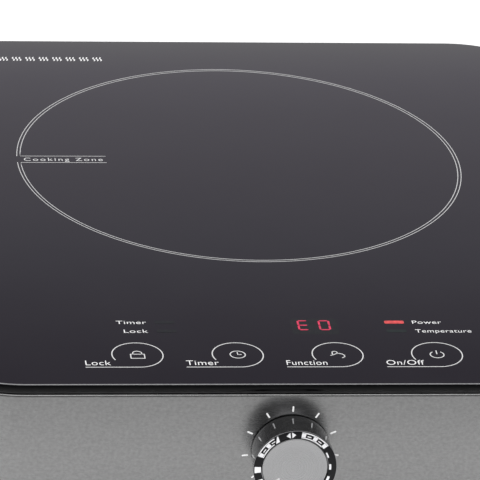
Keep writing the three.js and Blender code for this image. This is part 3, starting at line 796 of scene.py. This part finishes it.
def screws():
    """Screws of the feet and of the base, each left at a turn of its own."""
    kinds = (("foot_screw", 4.4 * MM, 2.6 * MM, 1.32), ("base_screw", 3.6 * MM, 2.2 * MM, 1.08))
    for kind, head, height, first_turn in kinds:
        for i in (1, 2, 3, 4):
            low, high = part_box(f"{kind}_{i}")
            at = (low + high) / 2
            seat = low.z + height
            turn = Matrix.Rotation(first_turn + 0.7 * i, 4, "Z")
            mesh = screw_mesh(head, height, high.z - seat)
            place = standing(at, seat) @ turn
            put(f"{kind}_{i}_cross", mesh, "screw", replaces=[f"{kind}_{i}"], place=place)


# ---- Prints on the glass ----
PRINT_LOW = TOP - 0.02 * MM
PRINT_HIGH = TOP + PRINT


def flat_print(name, draw, material="print"):
    """A print on the glass, made by draw(bm)."""
    bm = bmesh.new()
    draw(bm)
    put(name, mesh_of(name, bm, 20), material)


def line(bm, points, width=STROKE):
    stroke(bm, points, width, PRINT_LOW, PRINT_HIGH)


def loop(bm, points):
    closed_stroke(bm, points, STROKE, PRINT_LOW, PRINT_HIGH)


def words(name, text, x, y, width, height, from_right=False, tracking=1.05, offset=-0.006, ink="letter"):
    """Flat lettering on the line y that starts at x, or ends there if from_right."""
    curve = bpy.data.curves.new(name, "FONT")
    curve.body = text
    curve.extrude = 0.01
    curve.offset = offset
    curve.space_character = tracking
    curve.resolution_u = 6
    mesh = evaluated_mesh(linked(name, curve))
    capital = 0.73  # height of a capital in the font's own units
    low_x = min(v.co.x for v in mesh.vertices)
    high_x = max(v.co.x for v in mesh.vertices)
    left = x - width if from_right else x
    for v in mesh.vertices:
        v.co.x = left + (v.co.x - low_x) * width / (high_x - low_x)
        v.co.y = y + v.co.y * height / capital
        v.co.z = PRINT_HIGH if v.co.z > 0 else PRINT_LOW
    bm = bmesh.new()
    bm.from_mesh(mesh)
    bmesh.ops.remove_doubles(bm, verts=bm.verts, dist=1e-7)
    put(name, mesh_of(name, bm, 20), ink)


def zone_ring():
    """Double circle, open at the left where a label stands between two short lines."""
    inner = ZONE_RADIUS - 1.6 * MM
    upper, lower = 6.4 * MM, -0.9 * MM
    line_end = ZONE.x - 66 * MM

    def draw(bm):
        for radius in (ZONE_RADIUS, inner):
            start = degrees(pi - asin(upper / radius))
            end = degrees(pi - asin(lower / radius)) - 360
            points = arc(ZONE.x, ZONE.y, radius, start, end, 150)
            if radius == inner:
                points = [(line_end, ZONE.y + upper), *points, (line_end, ZONE.y + lower)]
            line(bm, points[::-1], RING_STROKE)

    flat_print("zone_ring", draw, "ring_print")
    x, y = ZONE.x - 106.6 * MM, ZONE.y + 1.0 * MM
    words("zone_label", "Cooking Zone", x, y, 39 * MM, 3.6 * MM, False, 1.25, -0.004, "print")


KEY_Y = -160.5 * MM
KEY_RADIUS = 11.8 * MM
UNDERLINE_Y = KEY_Y - KEY_RADIUS - 0.5 * MM
LABEL_REACH = 24.75 * MM  # from a key's middle to the left end of its underline
LABEL_HEIGHT = 4.8 * MM
SMALL_HEIGHT = 3.4 * MM


def padlock(bm, x, y):
    half, low, high, bow = 3.2, -3.6, 0.5, 2.1
    loop(bm, mm([(-half, low), (half, low), (half, high), (-half, high)], x, y))
    shackle = arc(x, y + 1.4 * MM, bow * MM, 180, 0, 14)
    line(bm, [*mm([(-bow, high)], x, y), *shackle, *mm([(bow, high)], x, y)])


def clock(bm, x, y):
    loop(bm, arc(x, y, 3.5 * MM, 0, 352.5, 47))
    line(bm, mm([(0, 2.2), (0, 0), (1.6, 0)], x, y))


def tap(bm, x, y):
    spout = [(-3.3, -0.9), (-2.0, -0.3), (-0.6, 0.8), (0.9, 1.0), (2.2, 0.4), (3.1, -0.8), (3.1, -2.3)]
    line(bm, mm([*spout, (1.9, -3.3)], x, y))
    line(bm, mm([(-2.4, 0.2), (-2.3, 2.5), (-1.2, 3.2), (-0.1, 2.5), (0.0, 1.0)], x, y))


def power_mark(bm, x, y):
    line(bm, arc(x, y - 0.3 * MM, 3.2 * MM, 128, 412, 40))
    line(bm, mm([(0, 3.6), (0, 0.4)], x, y))


def key_marks():
    """Ring round each key that runs out into an underline, with a pictogram inside and a word beside."""
    keys = [("Lock", 11.7, padlock), ("Timer", 15.1, clock), ("Function", 18.9, tap)]
    keys.append(("On/Off", 17.6, power_mark))
    drop = KEY_Y - UNDERLINE_Y
    for i, (at, (word, width, pictogram)) in enumerate(zip(KEYS, keys), 1):
        left = at.x - LABEL_REACH

        def draw(bm):
            ring = arc(at.x, KEY_Y, KEY_RADIUS, 205, 0, 44)
            quarter = arc(0, 0, 1, 0, -90, 18)[1:]
            run_out = [(at.x + KEY_RADIUS * x, KEY_Y + drop * y) for x, y in quarter]
            line(bm, [*ring, *run_out, (left, UNDERLINE_Y)])
            pictogram(bm, at.x, KEY_Y)

        flat_print(f"key_{i}_marks", draw)
        words(f"key_{i}_word", word, left, UNDERLINE_Y + 2 * MM, width * MM, LABEL_HEIGHT)


def bar(bm, start, end, width):
    """Straight bar with pointed ends, as the segments of a digit are."""
    way = (end - start).normalized()
    across = Vector((-way.y, way.x)) * width / 2
    tip = way * width / 2
    points = [start, start + tip - across, end - tip - across, end, end - tip + across, start + tip + across]
    prism(bm, points, PRINT_LOW, PRINT_HIGH)


def digit(bm, x, y, width, height, lit_segments):
    """Seven-segment digit about (x, y): a to f clockwise from the top, with g across the middle."""
    w, h, gap = width / 2, height / 2, 0.12 * MM
    rim = [(-w, h), (w, h), (w, 0), (w, -h), (-w, -h), (-w, 0), (-w, h)]
    segments = dict(zip("abcdef", zip(rim, rim[1:])), g=((-w, 0), (w, 0)))
    for name in lit_segments:
        start, end = (Vector(corner) + Vector((x, y)) for corner in segments[name])
        trim = (end - start).normalized() * gap
        bar(bm, start + trim, end - trim, 0.95 * MM)


def display():
    """Dark window with two lit digits."""
    low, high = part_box("digit_display")
    window = outline(high.x - low.x, high.y - low.y, 1.5 * MM, 0, 5)
    digits_y, height = DISPLAY.y + 1.2 * MM, 9.0 * MM

    def draw_window(bm):
        prism(bm, [(DISPLAY.x + x, DISPLAY.y + y) for x, y in window], PRINT_LOW, TOP + 0.01 * MM)

    def draw_digits(bm):
        digit(bm, 10.7 * MM, digits_y, 4.4 * MM, height, "adefg")
        digit(bm, 20.7 * MM, digits_y, 4.6 * MM, height, "abcdef")

    flat_print("display_window", draw_window, "window")
    flat_print("display_digits", draw_digits, "digit")


def lamps():
    """Two lamp windows on each side of the display, with a word beside each."""
    near, far = LAMPS[1].y - 4 * MM, LAMPS[1].y + 4.9 * MM
    window = outline(9.3 * MM, 2.9 * MM, 0.7 * MM, 0, 5)
    windows = [("right_far", 1, far, "lamp"), ("right_near", 1, near, "unlit")]
    windows += [("left_far", -1, far, "window"), ("left_near", -1, near, "window")]
    for name, side, y, material in windows:
        points = [(LAMPS[side].x + px, y + py) for px, py in window]
        flat_print(f"lamp_{name}", lambda bm: prism(bm, points, PRINT_LOW, PRINT_HIGH), material)
    labels = [("Timer", -62.7, far, 14.1, True), ("Lock", -62.7, near, 11.2, True)]
    labels += [("Power", 62.5, far, 13.8, False), ("Temperature", 62.9, near, 26.4, False)]
    for word, x, y, width, from_right in labels:
        base = y - SMALL_HEIGHT / 2
        words(f"word_{word.lower()}", word, x * MM, base, width * MM, SMALL_HEIGHT, from_right)


def heat_marks():
    """Row of pictograms near the back edge: three rising waves each, for a hot surface."""
    count, pitch, height, sway, steps = 14, 6.9 * MM, 4 * MM, 0.4 * MM, 10
    last_x, low_y = -60 * MM, 165 * MM

    def draw(bm):
        for i in range(count):
            for side in (-1, 0, 1):
                x = last_x - i * pitch + side * 1.7 * MM
                wave = []
                for t in range(steps + 1):
                    wave.append((x + sway * sin(2 * pi * t / steps), low_y + height * t / steps))
                line(bm, wave, 0.6 * MM)

    flat_print("heat_marks", draw, "letter")


# ---- Knob: built in the front wall's own frame, where z is the distance from the panel ----
SKIRT_START = 0.8 * MM
FACE = KNOB_LENGTH - 2.2 * MM  # seat of the ring and the cap
LIP = KNOB_LENGTH - 0.3 * MM  # front edge of the skirt, which surrounds the ring
RING_FACE = KNOB_LENGTH - 0.25 * MM
RING_INNER = 15.5 * MM
RING_OUTER = 19.05 * MM
MARK_LOW = RING_FACE - 0.1 * MM
MARK_HIGH = RING_FACE + 0.16 * MM
MARK_INNER = 15.7  # millimetres, as the radii of the marks between are
MARK_OUTER = 18.8
MARK_TURN = -9  # degrees the marks on the ring are turned clockwise from straight up
CAP_RADIUS = 15.2 * MM
REST_TURN = 130  # the pointer at rest, anticlockwise from straight up, seen from the front
POINTER_RADIUS = 11 * MM
TICKS = 9
TURN_RANGE = 260  # degrees from the first tick to the last


def knob_skirt():
    """Tapered skirt, hollow behind, with a socket for the shaft and a recess for the ring and the cap."""
    base, front, roof, recess = 18.3 * MM, 19.3 * MM, FACE - 3 * MM, RING_OUTER + 0.06 * MM
    profile = mm([(3.3, -3.4)], 0, FACE) + mm([(3.3, 4.4), (3.6, 4.2), (6, 4.2)])
    profile += mm([(6, 0), (15.2, 0)], 0, roof) + mm([(15.2, 0.2), (15.4, 0)], 0, SKIRT_START)
    profile += arc(base - 0.4 * MM, SKIRT_START + 0.4 * MM, 0.4 * MM, -90, 0, 4)
    for t in (0.3, 0.6, 0.9):
        profile.append((base + (front - base) * t, SKIRT_START + (LIP - SKIRT_START) * t))
    profile += arc(front - 0.08 * MM, LIP - 0.08 * MM, 0.08 * MM, 0, 90, 3)
    profile += [(recess, LIP), (recess, FACE), (16 * MM, FACE), (2 * MM, FACE)]
    mesh = solid("skirt", turned_rings(profile, 96), angle=40)
    put("knob_skirt", mesh, "knob", "knob", ["knob_body"], FRONT_WALL)


def knob_ring():
    """Black ring with a raised lip round the cap."""
    low = FACE + 0.1 * MM
    profile = [(RING_INNER, low), (RING_OUTER - 0.2 * MM, low), (RING_OUTER, low + 0.2 * MM)]
    profile += mm([(0, -0.2), (-0.06, -0.06), (-0.2, 0)], RING_OUTER, RING_FACE)
    profile += mm([(0.3, 0)], RING_INNER, RING_FACE)
    profile += mm([(0.22, -0.05), (0.12, 0), (0, -0.12)], RING_INNER, KNOB_LENGTH)
    mesh = solid("ring", turned_rings(profile, 128), closed=True, angle=25)
    put("knob_ring", mesh, "bezel", "knob", ["knob_bezel"], FRONT_WALL)


def ring_piece(bm, start, end, inner, outer):
    """Piece of a flat ring between two clockwise angles from straight up, with radii in millimetres."""
    steps = max(2, round((end - start) / 3))
    line_out = arc(0, 0, outer * MM, 90 - start, 90 - end, steps)
    line_in = arc(0, 0, inner * MM, 90 - end, 90 - start, steps)
    prism(bm, (line_out + line_in)[::-1], MARK_LOW, MARK_HIGH)


def windowed_bar(bm, start, end, rungs):
    """Two long strips of the ring, joined by rungs, with a short strip in the window after a rung."""
    ring_piece(bm, start, end, 18.25, MARK_OUTER)
    ring_piece(bm, start, end - 5, MARK_INNER, 16.25)
    for rung in rungs:
        ring_piece(bm, rung, rung + 6.5, 16.1, 18.4)
        if rung + 16 < end:
            ring_piece(bm, rung + 9, rung + 15.5, 16.9, 17.35)


def ring_marks():
    """Raised bright marks on the black ring: two arrowheads at the top, a windowed bar on each side
    and a row of blocks round the rest that widen clockwise."""

    def spot(radius, clockwise):
        turn = radians(90 - clockwise - MARK_TURN)
        return (radius * MM * cos(turn), radius * MM * sin(turn))

    bm = bmesh.new()
    for side in (-1, 1):
        arrow = [spot(MARK_OUTER, side * 1.2), spot(17.3, side * 7.4), spot(MARK_INNER, side * 1.2)]
        prism(bm, arrow, MARK_LOW, MARK_HIGH)
    spike = [spot(MARK_OUTER, -19), spot(MARK_OUTER, -20.5), spot(MARK_INNER, -28), spot(MARK_INNER, -20.5)]
    prism(bm, spike, MARK_LOW, MARK_HIGH)
    for start, end, rungs in ((16, 60.5, (16, 35, 54)), (-61, -25.5, (-61, -42))):
        windowed_bar(bm, start + MARK_TURN, end + MARK_TURN, [rung + MARK_TURN for rung in rungs])
    for i in range(10):
        ring_piece(bm, 60 + i * 22.5, 70 + i * 22.5, MARK_INNER, 16.4 + 0.25 * i)
    put("knob_ring_marks", mesh_of("marks", bm), "chrome", "knob", place=FRONT_WALL)


def knob_cap():
    """Slightly dished disc with a bright chamfer, and a pointer let into it."""
    low, high = FACE + 0.3 * MM, KNOB_LENGTH - 0.3 * MM
    rim = [(0, -0.45), (-0.12, -0.15), (-0.35, 0), (-0.8, 0), (-0.9, -0.06), (-1, -0.08)]
    profile = [(MM, low), (CAP_RADIUS, low), *mm(rim, CAP_RADIUS, high)]
    profile += mm([(9, -0.2), (5, -0.26), (0.6, -0.28)], 0, high)
    disc = solid("cap", turned_rings(profile, 96), angle=20)
    turn = Matrix.Rotation(radians(REST_TURN), 4, "Z")
    groove = bmesh.new()
    prism(groove, slot_outline(0, POINTER_RADIUS, 1.5 * MM, 5 * MM), high - 0.8 * MM, high + MM, turn)
    disc = combined(disc, mesh_of("groove", groove), angle=20)
    put("knob_face", disc, "cap", "knob", ["knob_cap"], FRONT_WALL)
    pointer = bmesh.new()
    outline_points = slot_outline(0, POINTER_RADIUS, 1.35 * MM, 4.85 * MM)
    prism(pointer, outline_points, high - 0.82 * MM, high - 0.45 * MM, turn)
    put("knob_pointer", mesh_of("pointer", pointer), "print", "knob", place=FRONT_WALL)


def dial_ticks():
    """Printed ticks round the knob."""
    bm = bmesh.new()
    for i in range(TICKS):
        angle = radians(TURN_RANGE * (i / (TICKS - 1) - 0.5))
        way = Vector((sin(angle), cos(angle)))
        points = [way * radius * MM for radius in (20.1, 21.2, 22.3)]
        stroke(bm, points, 0.8 * MM, -0.02 * MM, 0.06 * MM)
    put("dial_ticks", mesh_of("ticks", bm), "tick", place=FRONT_WALL)


# ---- Cord gland: built in the rear wall's own frame ----
GLAND_SEAT = 5.2 * MM
GLAND_NECK = 12 * MM
GLAND_BORE = 4.4 * MM


def gland_body():
    """Hexagon with turned-off corners on a stem that runs through the wall."""
    reach = 11.5 * MM
    flat, wide = reach * cos(pi / 6), reach + 0.1 * MM
    hexagon = bmesh.new()
    prism(hexagon, arc(0, 0, reach, 0, 300, 5), 0.3 * MM, GLAND_SEAT)
    body = eased(mesh_of("hexagon", hexagon), 0.25 * MM)
    dome = [(flat, 0), (wide, 0.9 * MM), (wide, GLAND_SEAT - 0.9 * MM), (flat, GLAND_SEAT + 0.25 * MM)]
    body = combined(body, solid("dome", turned_rings(dome, 72)), "INTERSECT")
    stem = mm([(7.4, -13.7), (7.6, -13.5), (7.6, 1), (6.2, 1.4)]) + mm([(6.2, -0.4), (5.8, 0)], 0, GLAND_NECK)
    body = combined(body, solid("stem", turned_rings(stem, 48)), "UNION")
    hole = [(GLAND_BORE, -20 * MM), (GLAND_BORE, 20 * MM)]
    body = combined(body, solid("hole", turned_rings(hole, 48)))
    put("gland_hexagon", body, "nylon", "body", ["gland_body"], REAR_WALL)


def gland_nut():
    """Ribbed dome nut with a rubber lip in its mouth."""
    end = GLAND_LENGTH
    start, inner = GLAND_SEAT + 0.3 * MM, GLAND_NECK + 0.3 * MM

    def ribbed(angle, radius, level):
        if radius < 9.4 * MM or level > end - 5.2 * MM:
            return radius
        return radius - 0.45 * MM * (0.5 + 0.5 * cos(18 * angle)) ** 3

    profile = mm([(6.5, 0), (9.2, 0), (9.6, 0.3), (10, 0.7)], 0, start)
    profile += [(10 * MM, start + (end - 5.4 * MM - start) * t) for t in (0.3, 0.5, 0.75, 1)]
    profile += mm([(9.9, -5), (9.65, -4), (9.1, -2.6), (8.3, -1.4), (7.4, -0.6), (6.4, -0.1)], 0, end)
    profile += mm([(5.8, 0), (5.6, -0.2)], 0, end) + mm([(5.6, 0.6), (5.6, 0), (6.5, 0)], 0, inner)
    nut = solid("dome_nut", turned_rings(profile, 144, ribbed), closed=True, angle=45)
    put("gland_dome_nut", nut, "nylon", "body", ["gland_nut"], REAR_WALL)
    lip = [(GLAND_BORE + 0.25 * MM, inner + 0.7 * MM), (5.5 * MM, inner + 0.7 * MM)]
    lip += mm([(5.5, -0.9), (5.1, -0.6)], 0, end) + mm([(0.35, -1), (0, -1.6)], GLAND_BORE, end)
    ring = solid("lip", turned_rings(lip, 48), closed=True)
    put("gland_seal_ring", ring, "rubber", "body", place=REAR_WALL)


# ---- Fan wheel ----
BLADES = 7
HUB_RADIUS = 17 * MM


def blade_section(radius, chord, pitch, sweep, level):
    """Cambered closed section of a blade, wrapped round the axis at a radius."""
    ring = []
    for i in range(14):
        turn = 2 * pi * i / 14
        along = chord / 2 * cos(turn)
        across = 0.75 * MM * sin(turn) + 1.9 * MM * (1 - (2 * along / chord) ** 2)
        angle = (along * cos(pitch) - across * sin(pitch)) / radius + sweep
        height = level + along * sin(pitch) + across * cos(pitch) - 1.2 * MM
        ring.append((radius * cos(angle), radius * sin(angle), height))
    return ring


def fan_wheel():
    """Hub with cambered blades that twist and sweep towards their tips."""
    low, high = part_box("fan_rotor")
    base, root, tip = low.z, HUB_RADIUS - 1.5 * MM, (high.x - low.x) / 2 - 0.4 * MM
    hub = mm([(2, 0), (14.6, 0)], 0, base)
    hub += arc(HUB_RADIUS - 2 * MM, base + 2 * MM, 2 * MM, -80, 0, 5)
    hub += mm([(0, 17.5), (-0.5, 18)], HUB_RADIUS, base) + mm([(1.8, 18)], 0, base)
    hub += mm([(1.8, -0.3), (1.5, 0)], 0, high.z)
    wheel = solid("hub", turned_rings(hub, 64))
    for k in range(BLADES):
        rings = []
        for t in (step / 7 for step in range(8)):
            sweep = 0.42 * t * t + 2 * pi * k / BLADES
            pitch = radians(44 - 14 * t)
            chord = (19 + 6 * t) * MM
            rings.append(blade_section(root + t * (tip - root), chord, pitch, sweep, base + 9 * MM))
        wheel = combined(wheel, solid("blade", rings), "UNION", 40)
    put("fan_wheel", wheel, "plastic", "fan", ["fan_rotor"], standing(FAN))


# ---- Pieces that stay as they are ----
# Nodes whose edges moulding or bending rounds, by millimetres.
EASED = {
    0.2: ["ribbon_cable"],
    0.3: ["heat_sink", "digit_display", "lamp_block_1", "lamp_block_2"],
    0.4: ["transistor", "rectifier", "control_bracket", "fan_frame", "pot_body"],
    0.5: ["transformer", "coil_carrier"],
    0.6: ["terminal_block", *(name for name in frame["nodes"] if name.startswith("ferrite_bar"))],
    1.2: ["resonant_capacitor", "filter_capacitor"],
}


def dress_nodes():
    """Finish for each node that nothing replaces, and its rounded edges."""
    slots = {part["node"]: part["material_slot"] for part in frame["record"]["subparts"]}
    widths = {name: width for width, names in EASED.items() for name in names}
    for name, node in frame["nodes"].items():
        if node.hide_render:
            continue
        slot = slots[name]
        node.data.materials.clear()
        node.data.materials.append(MATERIALS[SLOT_FINISH.get(slot, slot)])
        if name in widths:
            weld = node.modifiers.new("weld", "WELD")
            weld.merge_threshold = 0.00001
            bevel = node.modifiers.new("edges", "BEVEL")
            bevel.width = widths[name] * MM
            bevel.segments = 2
            bevel.limit_method = "ANGLE"
            bevel.angle_limit = radians(50)


place_camera()
build_stage()
glass_top()
glass_seal()
case_wrap()
base_sheet()
feet()
screws()
zone_ring()
key_marks()
display()
lamps()
heat_marks()
knob_skirt()
knob_ring()
ring_marks()
knob_cap()
dial_ticks()
gland_body()
gland_nut()
fan_wheel()
dress_nodes()
